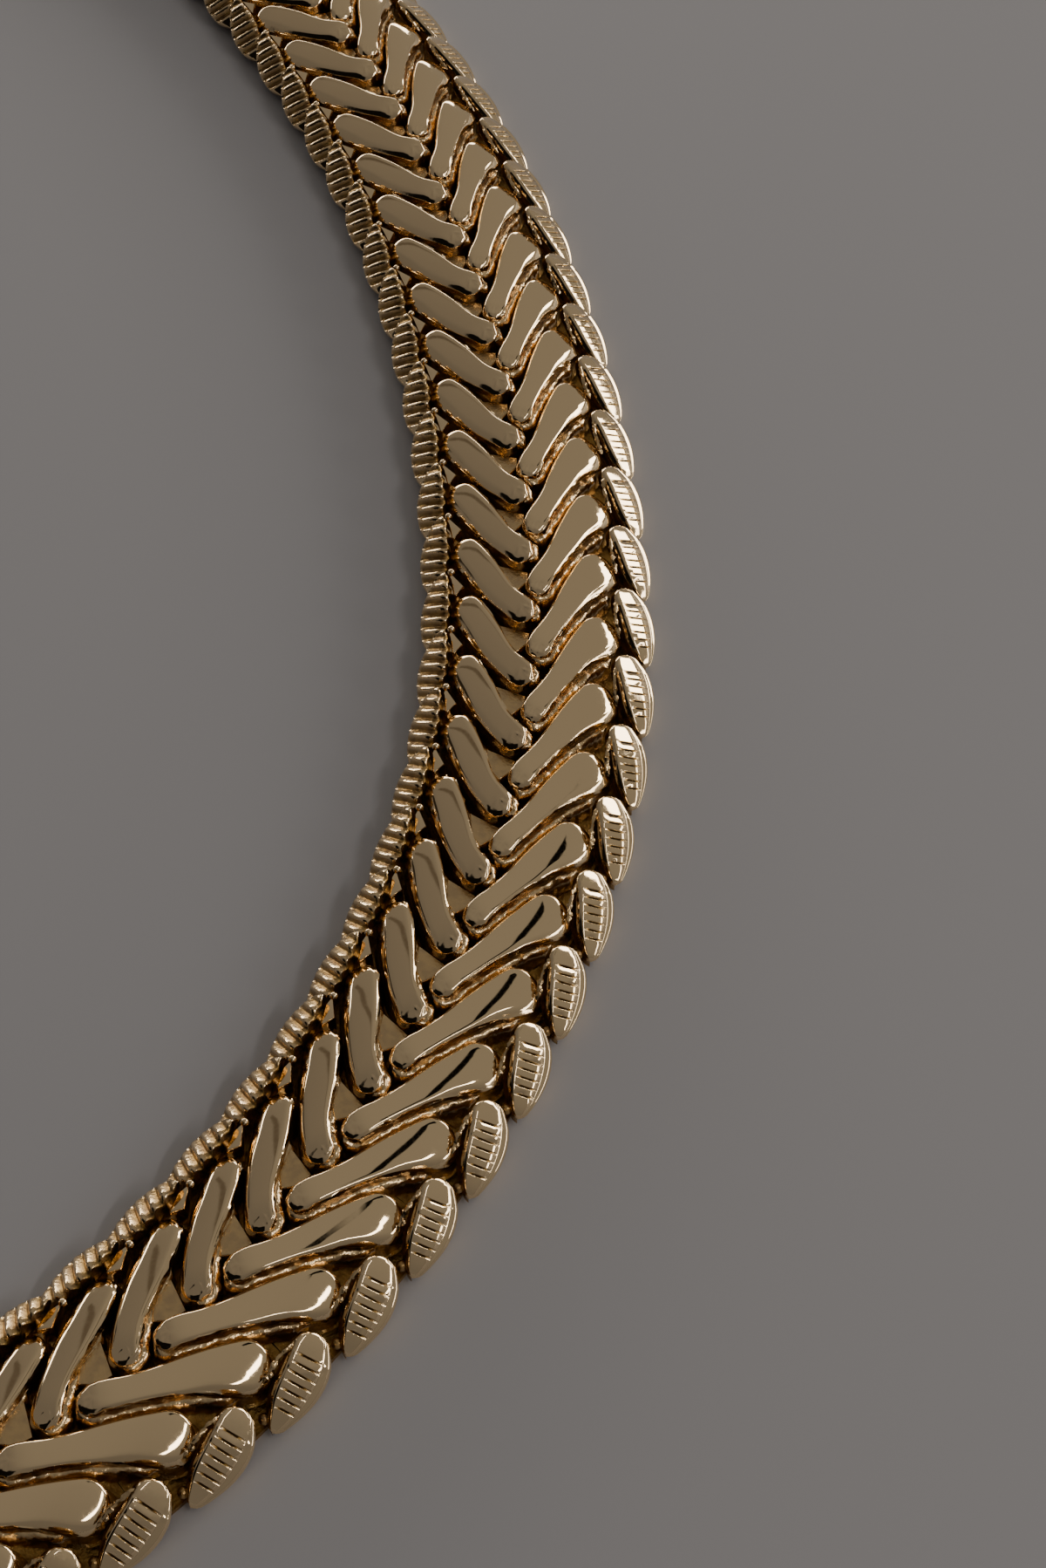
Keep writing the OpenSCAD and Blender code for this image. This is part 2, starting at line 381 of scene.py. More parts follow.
def leaf_rows(leaf, half):
    """Rows along a leaf in mm with the share of the cut there: close at each groove."""
    rows, cuts = [], []
    for k in range(leaf["grooves"]):
        middle = leaf["first"] + k * leaf["gap"]
        if k and leaf["gap"] > RIB_GAP:
            rows.append(middle - leaf["gap"] / 2)
            cuts.append(0)
        for step, share in leaf["groove"]:
            for way in ((-1, 1) if step else (0,)):
                rows.append(middle + way * step)
                cuts.append(share)
    low, high = min(rows) - 0.12, max(rows) + 0.12
    for end, begin in ((-half, low), (half, high)):
        for t in np.sin(np.linspace(0, 1, TIP_ROWS) * math.pi / 2):
            rows.append(begin + (end - begin) * t)
            cuts.append(0)
    order = np.argsort(rows)
    return np.array(rows)[order], np.array(cuts)[order]


def add_leaf(casting, leaf, part):
    """The leaf's skin, the wall down beside the pad, and its underside."""
    top, bottom = np.array(leaf["top_tip"]), np.array(leaf["bottom_tip"])
    half = np.linalg.norm(top - bottom) / 2
    along = (top - bottom) / (2 * half)
    across = np.array(leaf["rim_side"])
    across = across - along * (across @ along)
    across /= np.linalg.norm(across)
    up = np.cross(across, along)
    up *= np.sign(up[2])
    y, cut = leaf_rows(leaf, half)
    v, profile = (np.array(values) for values in leaf["section"])
    from_top = (half - y) * leaf["rim_width"][0][-1] / (2 * half)
    rim = np.clip(through(*leaf["rim_width"], from_top), 0.004, None)
    pad = np.clip(through(*leaf["pad_width"], from_top), 0.004, None)
    y, v_grid = np.meshgrid(y, v, indexing="ij")
    s = y / half
    body = np.clip(1 - s**2, 0, 1)
    width = np.where(v_grid > 0, rim[:, None], pad[:, None])
    height = profile[None, :] * body**0.42
    # The cuts end raggedly, and the leaf is slightly dimpled towards its top tip
    low, high = leaf["across"]
    ragged = (0.1 * np.sin(y * 9.7) + 0.09 * np.sin(y * 23 + 1)) * (leaf["gap"] < RIB_GAP)
    window = ease((v_grid - low - ragged) / 0.2) * ease((high + ragged - v_grid) / 0.2)
    height -= leaf["cut"] * cut[:, None] * window * body**0.4
    dimple = 0.018 * np.sin(y * 27) * np.sin(v_grid * 8 + y * 5)
    height += dimple * ease((s - 0.4) / 0.2) * (body > 0.05)
    edge = -0.42 * body**0.4
    back_v = np.broadcast_to((-1.0, 0.0, 1.0), (len(s), 3))
    back_width = np.column_stack([pad, pad, rim]) * 0.96
    back_h = edge[:, :3] - np.where(back_v == 0, 0.22 * body[:, :3], 0)
    # The grooves and the leaf's two edges get crevice values, which paint shade into them
    depth = leaf["painted_groove_shade"] * cut[:, None] ** 0.4 * window
    depth = depth + 0.3 * (v_grid == -1) + 0.25 * (v_grid > 0.99)
    height = np.where(v_grid == 1, edge + 0.1 * body, height)
    y = y - leaf["slant"] * v_grid * body

    def spots(side, y, height):
        middle = (top + bottom) / 2
        return middle + side[..., None] * across + y[..., None] * along + height[..., None] * up

    skin = spots(width * v_grid, y, height)
    casting.add_grid(skin, depth, part)
    wall = np.repeat(skin[:, :1], 3, 1)
    wall[:, 1:, 2] = np.maximum(wall[:, 1:, 2] - (0.2, 1.0), 0.12)
    deep = np.stack([depth[:, 0], depth[:, 0] + 0.4, np.ones(len(s))], 1)
    casting.add_grid(wall, deep, part)
    back = spots(back_width * back_v, y[:, [0, 5, -1]], back_h)
    casting.add_grid(back, np.ones((len(s), 3)), part)


add_leaf(link, OUTER_LEAF, OUTER_LEAF_PART)
add_leaf(link, INNER_LEAF, INNER_LEAF_PART)

# The grains, webs and facets. Small brass beads, cast with the link, sit in the notches
# between leaves on plain webs, and a small facet fills the corner where its pads meet.
FIRST_GRAIN_PART, LOBE_PART, FACET_PART, WEB_PART = 6, 20, 21, 23
# Each grain: x, y, z, radius, and how deep in the crevice it lies, which sets its painted shade
GRAINS = (
    (4.8, -0.35, 0.72, 0.26, 0.8),
    (-4.38, 0.64, 1.93, 0.2, 0.0),
    (3.98, 0.9, 1.82, 0.17, 0.5),
)
# The corners of the tops of a plain lobe beside the inner leaf, a web and the facet
LOBE = [(-4.42, 0.62, 1.93), (-4.62, -0.65, 1.86), (-4.15, -0.85, 1.9), (-3.74, -0.35, 2.05)]
WEB = [(-4.3, -0.5, 1.5), (-4.8, -1.2, 1.45), (-3.9, -1.6, 1.55), (-3.55, -0.9, 1.6)]
FACET = [
    (-2.0, -2.95, 2.12), (-1.75, -4.3, 2.36), (-1.2, -4.85, 2.4), (-0.62, -4.3, 2.34),
    (-0.5, -3.55, 2.18),
]
BLOCK_BEVEL = 0.06
GRAIN_ROWS, GRAIN_SIDES = 8, 12


def add_grain(casting, x, y, z, r, deep, part):
    """A round bead, from one pole to the other."""
    theta = np.linspace(0, math.pi, GRAIN_ROWS)
    phi = np.linspace(0, 2 * math.pi, GRAIN_SIDES, endpoint=False)
    t, p = np.meshgrid(theta, phi, indexing="ij")
    ball = np.stack([np.sin(t) * np.cos(p), np.sin(t) * np.sin(p), np.cos(t)], 2)
    grid = np.array([x, y, z]) + r * ball
    casting.add_grid(grid[::-1], np.full(t.shape, deep), part, wrap=True)


def add_block(casting, corners, foot, deep, part):
    """A low block with a narrow bevel round its slightly crowned top."""
    corners = np.array(corners)
    outline, top = corners[:, :2], corners[:, 2]
    centre = outline.mean(0)
    reach = np.linalg.norm(centre - outline, axis=1)[:, None]
    inward = (centre - outline) / reach
    inner, flat = outline + inward * BLOCK_BEVEL, outline + inward * (BLOCK_BEVEL + 0.04)
    middle = np.repeat(centre[None], len(outline), 0)
    base = np.full(len(outline), foot)
    crown = np.full(len(outline), top.mean() + BLOCK_BEVEL)
    rings = (
        (middle, base), (outline, base), (outline, top - BLOCK_BEVEL),
        (inner, top), (flat, top), (middle, crown),
    )
    grid = np.array([np.column_stack(ring) for ring in rings])
    casting.add_grid(grid, np.full(grid.shape[:2], deep), part, wrap=True)


for k, grain in enumerate(GRAINS):
    add_grain(link, *grain, FIRST_GRAIN_PART + k)
# The blocks' crevice values set their painted shade
add_block(link, LOBE, 0.5, 0.0, LOBE_PART)
add_block(link, WEB, 0.5, 0.7, WEB_PART)
add_block(link, FACET, 0.6, 0.5, FACET_PART)

# The floor of the crevices. One rough web of the same brass lies under every link, cast
# with it and cut straight across, so that neighbours meet.
FLOOR_PART = 30
PITCH = 3.9
FLOOR_X = np.array([-5.0, -4.4, -3.6, -2.8, -2.0, -1.2, -0.4, 0.4, 1.2, 2.0, 2.8, 3.6, 4.3, 5.0])
FLOOR_Y = np.linspace(-PITCH / 2, PITCH / 2, 8)
# How far it lies below the pads' tops, its greatest height, and its height at both edges
BELOW_ROOF = 1.7
FLOOR_TOP = 1.25
FLOOR_EDGE = 0.35


def add_floor(casting, part):
    """The web's rough top, its flat underside and its four walls."""
    x, y = np.meshgrid(FLOOR_X, FLOOR_Y, indexing="ij")
    z = np.minimum(roof(x) - BELOW_ROOF, FLOOR_TOP)
    z[[0, -1], :] = FLOOR_EDGE
    top = np.stack([x, y, z], 2)
    base = np.stack([x[:, [0, -1]], y[:, [0, -1]], np.zeros((len(FLOOR_X), 2))], 2)
    sheets = [top[::-1], base]
    for row in (0, -1):
        foot = np.linspace(base[row, 0], base[row, 1], len(FLOOR_Y))
        sheets.append(np.stack([foot, top[row]], 0))
    for column in (0, -1):
        sheets.append(np.stack([base[:, column], top[:, column]], 0))
    # Every face of the web has a crevice value of 1, full painted shade
    for sheet in sheets:
        casting.add_grid(sheet, np.ones(sheet.shape[:2]), part)


add_floor(link, FLOOR_PART)
points, faces, depth, part = link.weld()
# Rough parts and deep walls keep their facets, which glitter; the rest is shaded smooth
SMOOTH_UNDER = 0.6
rough_parts = (OUTER_LEDGE_PART, INNER_LEDGE_PART, ROUGH_LINE_PART, WEB_PART, FLOOR_PART)
rough_points = np.isin(part, rough_parts)
smooth = [bool(not rough_points[f[0]] and depth[list(f)].mean() < SMOOTH_UNDER) for f in faces]

# The gold. The links are brass cast in rubber moulds, tumbled, then plated with pale
# gold and buffed: bright and slightly wavy on top, rougher where the buff never reached,
# and deep amber in the crevices, where light bounces several times between the walls
# and the colour is also darkened to amber as painted shade.

# Blender works in metres, and every size here is in mm
MM = 0.001
# Sizes of the marks. Real buffing grit is finer than this, but wouldn't show.
BUFF_GRIT = 1 / 6
POLISH_WAVE = 1 / 0.42
DULL_PATCH = 1 / 1.9
CAST_GRAIN = 1 / 7


def linear(hex_colour):
    """sRGB hex to the linear colour that the shader takes."""
    channels = [int(hex_colour[i : i + 2], 16) / 255 for i in (1, 3, 5)]
    return [c / 12.92 if c <= 0.04045 else ((c + 0.055) / 1.055) ** 2.4 for c in channels] + [1.0]


def node(tree, kind, settings=None, links=None):
    """Adds a node, sets its properties and inputs, by name or place, and links its inputs."""
    made = tree.nodes.new(kind)
    for key, value in (settings or {}).items():
        if isinstance(key, int) or key in made.inputs:
            made.inputs[key].default_value = value
        else:
            setattr(made, key, value)
    for key, source in (links or {}).items():
        tree.links.new(source, made.inputs[key])
    return made


plated_gold = bpy.data.materials.new("pale gold plate on cast brass, buffed")
plated_gold.use_nodes = True
tree = plated_gold.node_tree
tree.nodes.clear()
# Each point's crevice value sets its painted shade, a darker amber, and how dull the unbuffed metal
# is
crevice = node(tree, "ShaderNodeAttribute", {"attribute_name": "crevice"}).outputs["Fac"]
place = node(tree, "ShaderNodeTexCoord").outputs["Object"]
# Patches of darker metal, a random tone, break up the crevices' painted amber shade
blotch = node(
    tree, "ShaderNodeTexNoise", {"Scale": 1 / (DULL_PATCH * MM), "Detail": 3.0}, {"Vector": place},
)
patchy = node(
    tree, "ShaderNodeMapRange", {"From Min": 0.42, "From Max": 0.62},
    {"Value": blotch.outputs["Fac"]},
)
crevice_shade_amber = node(
    tree, "ShaderNodeMix", {"data_type": "RGBA", 6: linear("#BA9452"), 7: linear("#8A6534")},
    {0: patchy.outputs["Result"]},
)
# Painted shade: the pale gold of the tops turns to the crevices' amber with the crevice value
colour = node(
    tree, "ShaderNodeMix", {"data_type": "RGBA", 6: linear("#F9DEB2")},
    {0: crevice, 7: crevice_shade_amber.outputs[2]},
)
# Painted shade: past a crevice value of 1, the cut grooves are painted dark brown, as if shadowed
groove_shade_share = node(tree, "ShaderNodeMapRange", {"From Min": 1.0, "From Max": 1.5}, {"Value": crevice})
painted_groove_shade = node(
    tree, "ShaderNodeMix", {"data_type": "RGBA", 7: linear("#3C2C18")},
    {0: groove_shade_share.outputs["Result"], 6: colour.outputs[2]},
)
# The grit of the buff softens reflections here and there; the crevices are far duller
grit = node(
    tree, "ShaderNodeTexNoise", {"Scale": 1 / (BUFF_GRIT * MM), "Detail": 3.0}, {"Vector": place},
)
rough = node(
    tree, "ShaderNodeMapRange", {"From Min": 0.3, "From Max": 0.7, "To Min": 0.035, "To Max": 0.08},
    {"Value": grit.outputs["Fac"]},
)
rougher = node(
    tree, "ShaderNodeMath", {"operation": "MULTIPLY_ADD", 1: 0.34},
    {0: crevice, 2: rough.outputs["Result"]},
)
# Slow waves of hand polishing bend reflections, and the crevices keep the sand-like
# grain of the casting
wave = node(
    tree, "ShaderNodeTexNoise", {"Scale": 1 / (POLISH_WAVE * MM), "Detail": 1.0}, {"Vector": place},
)
grain = node(
    tree, "ShaderNodeTexNoise", {"Scale": 1 / (CAST_GRAIN * MM), "Detail": 2.0}, {"Vector": place},
)
grain_height = node(
    tree, "ShaderNodeMath", {"operation": "MULTIPLY"}, {0: grain.outputs["Fac"], 1: crevice},
)
waves = node(
    tree, "ShaderNodeBump", {"Strength": 0.25, "Distance": 0.02 * MM},
    {"Height": wave.outputs["Fac"]},
)
grained = node(
    tree, "ShaderNodeBump", {"Strength": 0.8, "Distance": 0.06 * MM},
    {"Height": grain_height.outputs["Value"], "Normal": waves.outputs["Normal"]},
)
shader = node(
    tree, "ShaderNodeBsdfPrincipled", {"Metallic": 1.0},
    {
        "Base Color": painted_groove_shade.outputs[2], "Roughness": rougher.outputs["Value"],
        "Normal": grained.outputs["Normal"],
    },
)
node(tree, "ShaderNodeOutputMaterial", None, {"Surface": shader.outputs["BSDF"]})

# The runs. Seven to ten cast brass links, joined under their pads, make a run, and twelve
# runs make the loop. Each link differs a little, as hand-finished castings do.

# The loop lies flat as an oval of two tight ends and two long sides, with even slots for
# links. Each arc: its centre x and y, radius, angle where it starts and angle per link
END_LINKS = 32
SIDE_LINKS = 20
END_HALF_ANGLE = math.radians(67)
SIDE_HALF_ANGLE = math.pi / 2 - END_HALF_ANGLE
END_R = END_LINKS * PITCH / (2 * END_HALF_ANGLE)
SIDE_R = SIDE_LINKS * PITCH / (2 * SIDE_HALF_ANGLE)
END_CENTRE_Y = (SIDE_R - END_R) * math.sin(SIDE_HALF_ANGLE)
SIDE_CENTRE_X = (SIDE_R - END_R) * math.cos(SIDE_HALF_ANGLE)
END_STEP = 2 * END_HALF_ANGLE / END_LINKS
SIDE_STEP = 2 * SIDE_HALF_ANGLE / SIDE_LINKS
FRONT = (0, -END_CENTRE_Y, END_R, -math.pi / 2 - END_HALF_ANGLE, END_STEP)
RIGHT = (-SIDE_CENTRE_X, 0, SIDE_R, -SIDE_HALF_ANGLE, SIDE_STEP)
BACK = (0, END_CENTRE_Y, END_R, math.pi / 2 - END_HALF_ANGLE, END_STEP)
LEFT = (SIDE_CENTRE_X, 0, SIDE_R, math.pi - SIDE_HALF_ANGLE, SIDE_STEP)
# Each run: its name, its arc, its first slot on the arc and its number of links
RUNS = (
    ("front_run_1", FRONT, 0, 8), ("front_run_2", FRONT, 8, 8),
    ("front_run_3", FRONT, 16, 8), ("front_run_4", FRONT, 24, 8),
    ("right_run_1", RIGHT, 0, 10), ("right_run_2", RIGHT, 10, 10),
    ("back_right_run_1", BACK, 0, 7), ("back_right_run_2", BACK, 7, 7),
    ("back_left_run_1", BACK, 18, 7), ("back_left_run_2", BACK, 25, 7),
    ("left_run_1", LEFT, 0, 10), ("left_run_2", LEFT, 10, 10),
)
# How much pads tilt, as a slope, and the most that moves a point; how ragged their walls
# are, all round and more on the near side; and how rough each unpolished part is, in mm
PAD_TILT = 0.008
MOST_TILTED = 0.03
RAGGED, RAGGED_NEAR = 0.003, 0.024
ROUGHNESS = (
    ((OUTER_LEDGE_PART, INNER_LEDGE_PART), 0.03),
    ((ROUGH_LINE_PART, WEB_PART), 0.025),
    ((FLOOR_PART,), 0.04),
)
# Pads tilt only from TILT_FROM mm up, and fully TILT_OVER mm higher, so their feet stay put.
# Their walls have these crevice values, and metal lower than ROUGH_ABOVE mm stays even
TILT_FROM, TILT_OVER = 1.2, 0.6
WALL_FROM, WALL_TO = 0.12, 0.95
ROUGH_ABOVE = 0.6


def varied_link(rng):
    """One link's points, with its pads tilted and its unpolished parts roughened."""
    p = points.copy()
    for pad_part, pad in ((OUTER_PAD_PART, OUTER_PAD), (INNER_PAD_PART, INNER_PAD)):
        mine = part == pad_part
        tilt = rng.normal(0, PAD_TILT, 2)
        offset = p[mine][:, :2] - np.array(pad["wide"])
        top = ease((p[mine][:, 2] - TILT_FROM) / TILT_OVER)
        p[mine, 2] += top * np.clip(offset @ tilt, -MOST_TILTED, MOST_TILTED)
        axis = np.array(pad["narrow"]) - np.array(pad["wide"])
        across = offset @ np.array([-axis[1], axis[0]]) / np.linalg.norm(axis)
        wall = (depth[mine] > WALL_FROM) & (depth[mine] < WALL_TO)
        ragged = np.where(wall, RAGGED + RAGGED_NEAR * ease(across / 0.4), 0)[:, None]
        p[mine] += ragged * np.clip(rng.normal(0, 1, (mine.sum(), 3)), -2, 2)
    for parts, size in ROUGHNESS:
        rough = np.isin(part, parts) & (p[:, 2] > ROUGH_ABOVE)
        p[rough] += np.clip(rng.normal(0, size, (rough.sum(), 3)), -2 * size, 2 * size)
    return p


def add_piece(name, points, faces, depth, smooth, sharpest):
    """A gold piece from points in mm; edges sharper than so many degrees stay sharp."""
    mesh = bpy.data.meshes.new(name)
    mesh.from_pydata((points * MM).tolist(), [], faces)
    mesh.polygons.foreach_set("use_smooth", smooth)
    mesh.set_sharp_from_angle(angle=math.radians(sharpest))
    crevice = mesh.attributes.new("crevice", "FLOAT", "POINT")
    crevice.data.foreach_set("value", depth.astype(np.float32))
    mesh.materials.append(plated_gold)
    piece = bpy.data.objects.new(name, mesh)
    bpy.context.scene.collection.objects.link(piece)
    return piece


for name, arc, first, count in RUNS:
    rng = np.random.default_rng(sum(map(ord, name)))
    run_points, run_faces = [], []
    for slot in range(first, first + count):
        x, y, z = varied_link(rng).T
        x = arc[2] + x
        # The crevice floor bends along the arc, so that neighbours meet
        bend = np.where(part == FLOOR_PART, y / arc[2], 0)
        x, y = np.where(bend, x * np.cos(bend), x), np.where(bend, x * np.sin(bend), y)
        angle = arc[3] + (slot + 0.5) * arc[4]
        start = len(run_points) * len(points)
        run_points.append(np.column_stack([
            arc[0] + x * math.cos(angle) - y * math.sin(angle),
            arc[1] + x * math.sin(angle) + y * math.cos(angle),
            z,
        ]))
        run_faces.extend(tuple(start + i for i in f) for f in faces)
    all_points, all_depth = np.concatenate(run_points), np.tile(depth, count)
    run = add_piece(name + "_links", all_points, run_faces, all_depth, smooth * count, 50)
    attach(run, "root")
    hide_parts(name)

# The clasp. At the middle of the back one plain cast brass box closes the loop: low-domed,
# with rounded rims, its two ends cut to the chevron of the links, and a fine closing line.

# Its ends are given as x across and y along from a slot of the back arc
CLASP_HALF = 5.34
FIRST_SLOT, OTHER_SLOT = 13, 18
FIRST_END = (
    (5.4, 4.05), (3.7, 4.05), (2.2, 1.65), (-1.0, -3.4), (-2.9, -0.25), (-4.1, 1.65), (-5.4, 1.65),
)
OTHER_END = (
    (5.4, -1.35), (5.0, -1.35), (1.0, -6.15), (-0.3, -7.75), (-1.8, -7.75), (-5.0, -3.95),
    (-5.4, -3.95),
)
# Heights of the top's middle and of the foot; the dome falls by CLASP_DOME times x squared
CLASP_TOP, CLASP_FOOT, CLASP_DOME = 2.84, 0.03, 0.034
# The radius of its rims at the ends and the sides, and where rows lie on them
END_RIM, SIDE_RIM = 0.4, 0.7
RIM_STEPS = np.array([0, 0.03, 0.08, 0.15, 0.24, 0.35, 0.5])
# Where the closing line is along the clasp, and how far the flat metal's rows keep from it
# and from the rims
CLOSING_AT = 7.2
LINE_CLEAR, RIM_CLEAR = 0.3, 0.8
# Rows across the line, its half width and its depth
LINE_STEPS = (-0.14, -0.09, -0.05, 0, 0.05, 0.09, 0.14)
LINE_HALF, LINE_DEPTH = 0.13, 0.11
# The walls' rows: how far up, and how deep in the crevice, which sets their painted shade
CLASP_WALL = ((0, 0.5), (0.12, 0.25), (0.5, 0.1), (0.85, 0.05), (1, 0.0))


def clasp_end(corners, slot, x):
    """Where an end lies along the back arc for each place across, its corners rounded."""
    corners = np.array(corners)[::-1]
    across = np.linspace(corners[0, 0], corners[-1, 0], 400)
    y = np.interp(across, corners[:, 0], corners[:, 1])
    radius = np.hypot(BACK[2] + across, y) - BACK[2]
    place = (slot + 0.5) * PITCH + np.arctan2(y, BACK[2] + across) * BACK[2]
    soft = np.convolve(np.pad(place, 12, mode="edge"), np.ones(25) / 25, mode="valid")
    return np.interp(x, radius, soft)


def rounded(distance, radius):
    """How far a rim of that radius has dropped at a distance in from the edge."""
    inward = np.clip(radius - distance, 0, radius)
    return radius - np.sqrt(radius**2 - inward**2)


def on_back(x, place, z):
    """Places across and along the back arc as points in mm."""
    angle, radius = BACK[3] + place / BACK[2], BACK[2] + x
    return np.stack([BACK[0] + radius * np.cos(angle), BACK[1] + radius * np.sin(angle), z], -1)


x = np.concatenate([
    RIM_STEPS - CLASP_HALF,
    np.linspace(-CLASP_HALF + RIM_CLEAR, CLASP_HALF - RIM_CLEAR, 41),
    CLASP_HALF - RIM_STEPS[::-1],
])
first, other = clasp_end(FIRST_END, FIRST_SLOT, x), clasp_end(OTHER_END, OTHER_SLOT, x)
closing = first + CLOSING_AT
rows = [first + d for d in (*RIM_STEPS, *np.linspace(RIM_CLEAR + 0.1, CLOSING_AT - LINE_CLEAR, 14))]
rows += [closing + d for d in LINE_STEPS]
after_line, before_rim = closing + LINE_CLEAR, other - RIM_CLEAR
rows += [after_line + (before_rim - after_line) * t for t in np.linspace(0, 1, 12)]
rows += [other - d for d in RIM_STEPS[::-1]]
place = np.array(rows)
x = np.broadcast_to(x, place.shape)
to_end = np.minimum(*(
    inward / np.sqrt(1 + np.gradient(end, x[0]) ** 2)
    for inward, end in ((place - first, first), (other - place, other))
))
to_side = CLASP_HALF - np.abs(x)
cut = np.clip(1 - ((place - closing) / LINE_HALF) ** 2, 0, 1)
rims = rounded(to_end, END_RIM) + rounded(to_side, SIDE_RIM)
height = CLASP_TOP - CLASP_DOME * x**2 - rims - LINE_DEPTH * cut

box = Casting()
# The closing line and the underside get crevice values, which paint shade into them
box.add_grid(on_back(x, place, height), 0.9 * cut, 0)
box.add_grid(on_back(x, place, np.full(x.shape, CLASP_FOOT))[::-1], np.full(x.shape, 0.4), 0)
last_row, last_column = x.shape[0] - 1, x.shape[1] - 1
ring = [(0, c) for c in range(last_column)] + [(r, last_column) for r in range(last_row)]
ring += [(last_row, c) for c in range(last_column, 0, -1)]
ring += [(r, 0) for r in range(last_row, 0, -1)]
ring = tuple(np.array(ring).T)
wall = [
    on_back(x[ring], place[ring], CLASP_FOOT + (height[ring] - CLASP_FOOT) * share)
    for share, deep in CLASP_WALL
]
wall_depth = [np.full(len(ring[0]), deep) for share, deep in CLASP_WALL]
box.add_grid(np.array(wall), np.array(wall_depth), 0, wrap=True)
box_points, box_faces, box_depth, _ = box.weld()
clasp_box = add_piece("clasp_box", box_points, box_faces, box_depth, [True] * len(box_faces), 40)
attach(clasp_box, "root")
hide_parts("clasp")

# The studio. A plain pale sheet of matt paper, four long soft boxes round the right and the
# back, most of them low, which draw the bright lines along the rolled edges, and dim grey
# walls. Dark panels on these give the tops their even tone and their dark streak.
STUDIO_HALF = 2.0
floor_mesh = bpy.data.meshes.new("studio_floor")
corners = [(-STUDIO_HALF, -STUDIO_HALF, 0), (STUDIO_HALF, -STUDIO_HALF, 0)]
corners += [(STUDIO_HALF, STUDIO_HALF, 0), (-STUDIO_HALF, STUDIO_HALF, 0)]
floor_mesh.from_pydata(corners, [], [(0, 1, 2, 3)])
studio_floor = bpy.data.objects.new("studio_floor", floor_mesh)
bpy.context.scene.collection.objects.link(studio_floor)
paper = bpy.data.materials.new("matt pale paper")
paper.use_nodes = True
paper_shader = paper.node_tree.nodes["Principled BSDF"]
paper_shader.inputs["Base Color"].default_value = linear("#B0AFB2")
paper_shader.inputs["Roughness"].default_value = 0.6
floor_mesh.materials.append(paper)

# The soft boxes point at the links in the middle of the view
AIM = Vector((0.035, -0.03, 0))
# Each soft box: its name, azimuth (0 is +Y, 90 is +X) and elevation in degrees, distance,
# width and height in metres, power in watts and colour
SOFT_BOXES = (
    ("right_softbox", 78, 15, 0.9, 0.5, 0.22, 2.7, "#FFF8F0"),
    ("front_softbox", 138, 47, 0.9, 0.5, 0.07, 0.9, "#FFF8F2"),
    ("low_softbox", 114, 7, 0.9, 0.8, 0.1, 1.4, "#FFF8F2"),
    ("back_softbox", 4, 8, 1.0, 1.25, 0.16, 4.1, "#FFF8F0"),
)


def toward(azimuth, elevation):
    """The direction at an azimuth and elevation in degrees."""
    a, e = math.radians(azimuth), math.radians(elevation)
    return Vector((math.sin(a) * math.cos(e), math.cos(a) * math.cos(e), math.sin(e)))


for name, azimuth, elevation, distance, width, height, power, colour in SOFT_BOXES:
    light = bpy.data.lights.new(name, "AREA")
    light.shape = "RECTANGLE"
    light.size, light.size_y = width, height
    light.energy = power
    light.color = linear(colour)[:3]
    lamp = bpy.data.objects.new(name, light)
    direction = toward(azimuth, elevation)
    lamp.location = AIM + direction * distance
    lamp.rotation_euler = direction.to_track_quat("Z", "Y").to_euler()
    bpy.context.scene.collection.objects.link(lamp)

world = bpy.data.worlds.new("studio surroundings")
bpy.context.scene.world = world
world.use_nodes = True
tree = world.node_tree
tree.nodes.clear()
direction = node(tree, "ShaderNodeTexCoord").outputs["Generated"]


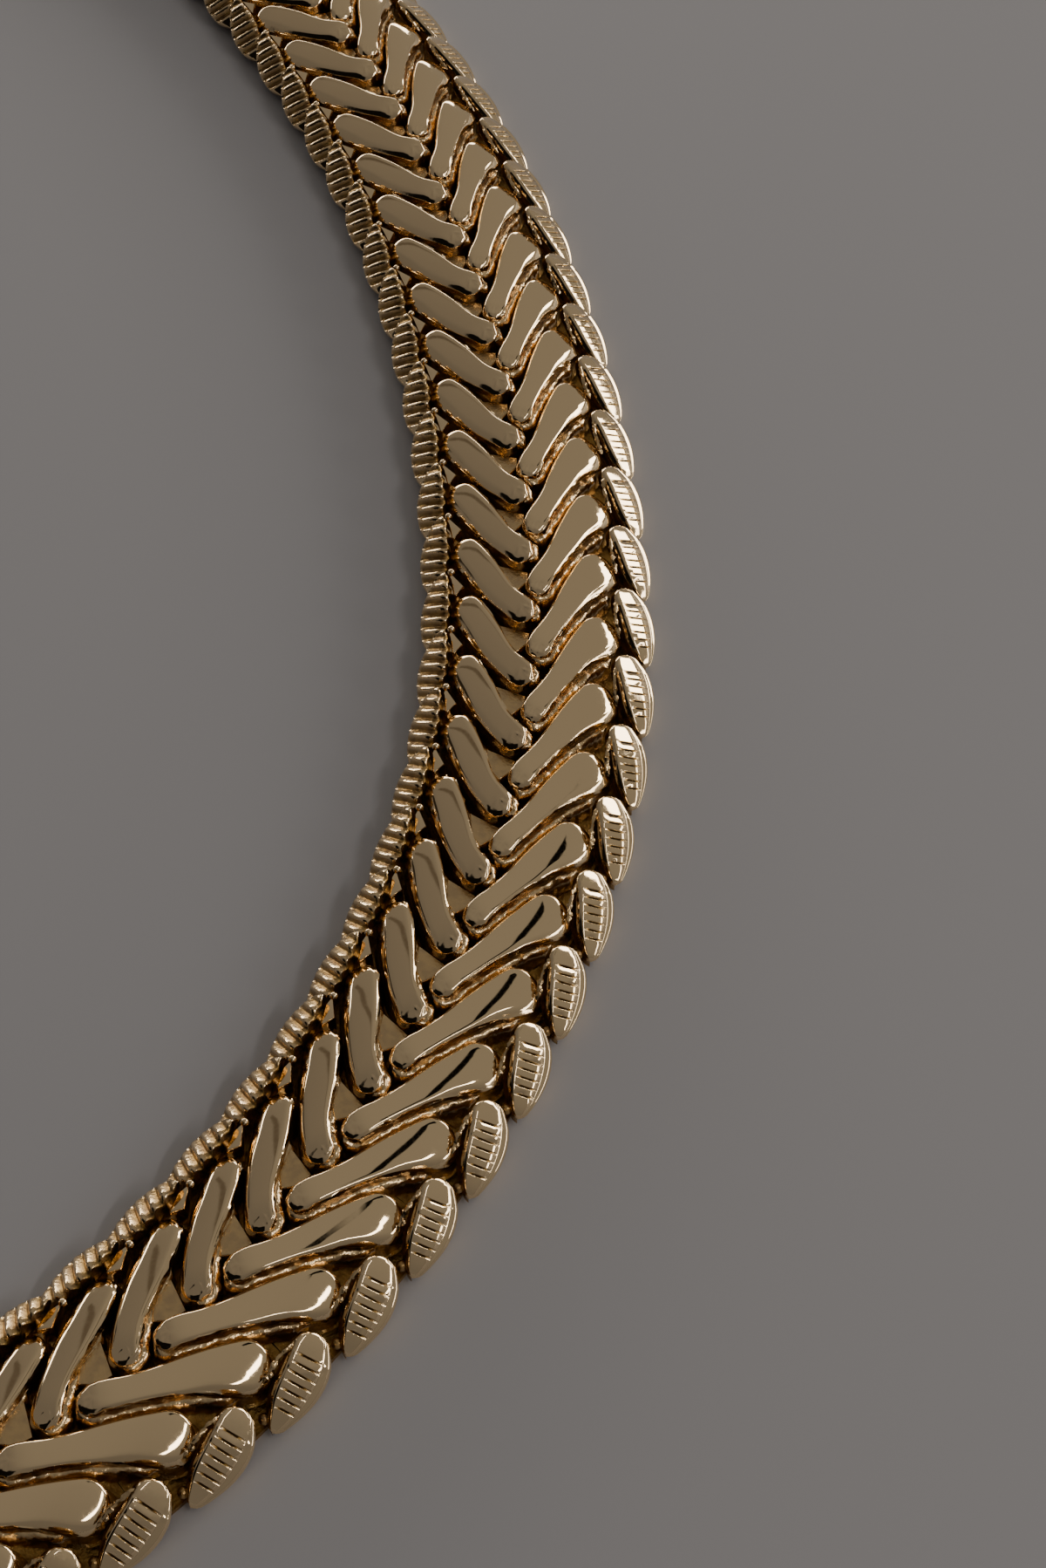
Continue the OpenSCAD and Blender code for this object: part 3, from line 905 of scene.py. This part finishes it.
def band(across, low, high, soft):
    """1 where a direction's share along a vector is from low to high, fading over soft."""
    dot = {"operation": "DOT_PRODUCT", 1: across}
    share = node(tree, "ShaderNodeVectorMath", dot, {0: direction}).outputs["Value"]
    edges = []
    for start, end, before, after in ((low - soft, low, 0.0, 1.0), (high, high + soft, 1.0, 0.0)):
        fade = {"From Min": start, "From Max": end, "To Min": before, "To Max": after}
        fade["interpolation_type"] = "SMOOTHSTEP"
        edges.append(node(tree, "ShaderNodeMapRange", fade, {"Value": share}).outputs["Result"])
    both = node(tree, "ShaderNodeMath", {"operation": "MULTIPLY"}, dict(enumerate(edges)))
    return both.outputs["Value"]


def panel(azimuth, half, low, high, soft):
    """1 in an upright panel, half degrees to each side of an azimuth, from low to high."""
    width = math.sin(math.radians(half))
    inside = band((0, 0, 1), math.sin(math.radians(low)), math.sin(math.radians(high)), soft)
    beside = band(toward(azimuth + 90, 0), -width, width, soft)
    for limit in (beside, band(toward(azimuth, 0), 0.0, 1.1, 0.05)):
        both = node(tree, "ShaderNodeMath", {"operation": "MULTIPLY"}, {0: inside, 1: limit})
        inside = both.outputs["Value"]
    return inside


# The walls, from the darker left to the paler right, and the dark panels over them
walls = node(
    tree, "ShaderNodeMix", {"data_type": "RGBA", 6: linear("#6A6765"), 7: linear("#87837D")},
    {0: band(toward(70, 30), 0.9, 1.1, 1.0)},
)
for amount, colour in (
    (panel(-38, 6, -5, 12, 0.08), "#26231F"),
    (band(toward(250, 29), 0.87, 1.1, 0.05), "#0E0D0C"),
    (panel(74, 2.6, 45, 66, 0.014), "#080706"),
    (panel(-15, 0.5, 22, 44, 0.012), "#57514A"),
):
    over = {"data_type": "RGBA", 7: linear(colour)}
    walls = node(tree, "ShaderNodeMix", over, {0: amount, 6: walls.outputs[2]})
background = node(tree, "ShaderNodeBackground", {"Strength": 1.0}, {"Color": walls.outputs[2]})
node(tree, "ShaderNodeOutputWorld", None, {"Surface": background.outputs["Background"]})

# The camera. It has the photograph's viewing angle: a long lens, looking steeply down from
# about 110 mm off the links in the middle of the view.
CAMERA_AT = (0.02057, -0.1014, 0.09078)
LOOKS_DOWN, HEADING = 56.38, -23.59
camera_data = bpy.data.cameras.new("camera")
camera_data.sensor_fit = "VERTICAL"
camera_data.sensor_height = 36.0
camera_data.lens = 51.26
camera_data.clip_start = 0.001
camera = bpy.data.objects.new("camera", camera_data)
camera.location = CAMERA_AT
camera.rotation_euler = (math.radians(90 - LOOKS_DOWN), 0, math.radians(HEADING))
bpy.context.scene.collection.objects.link(camera)
bpy.context.scene.camera = camera
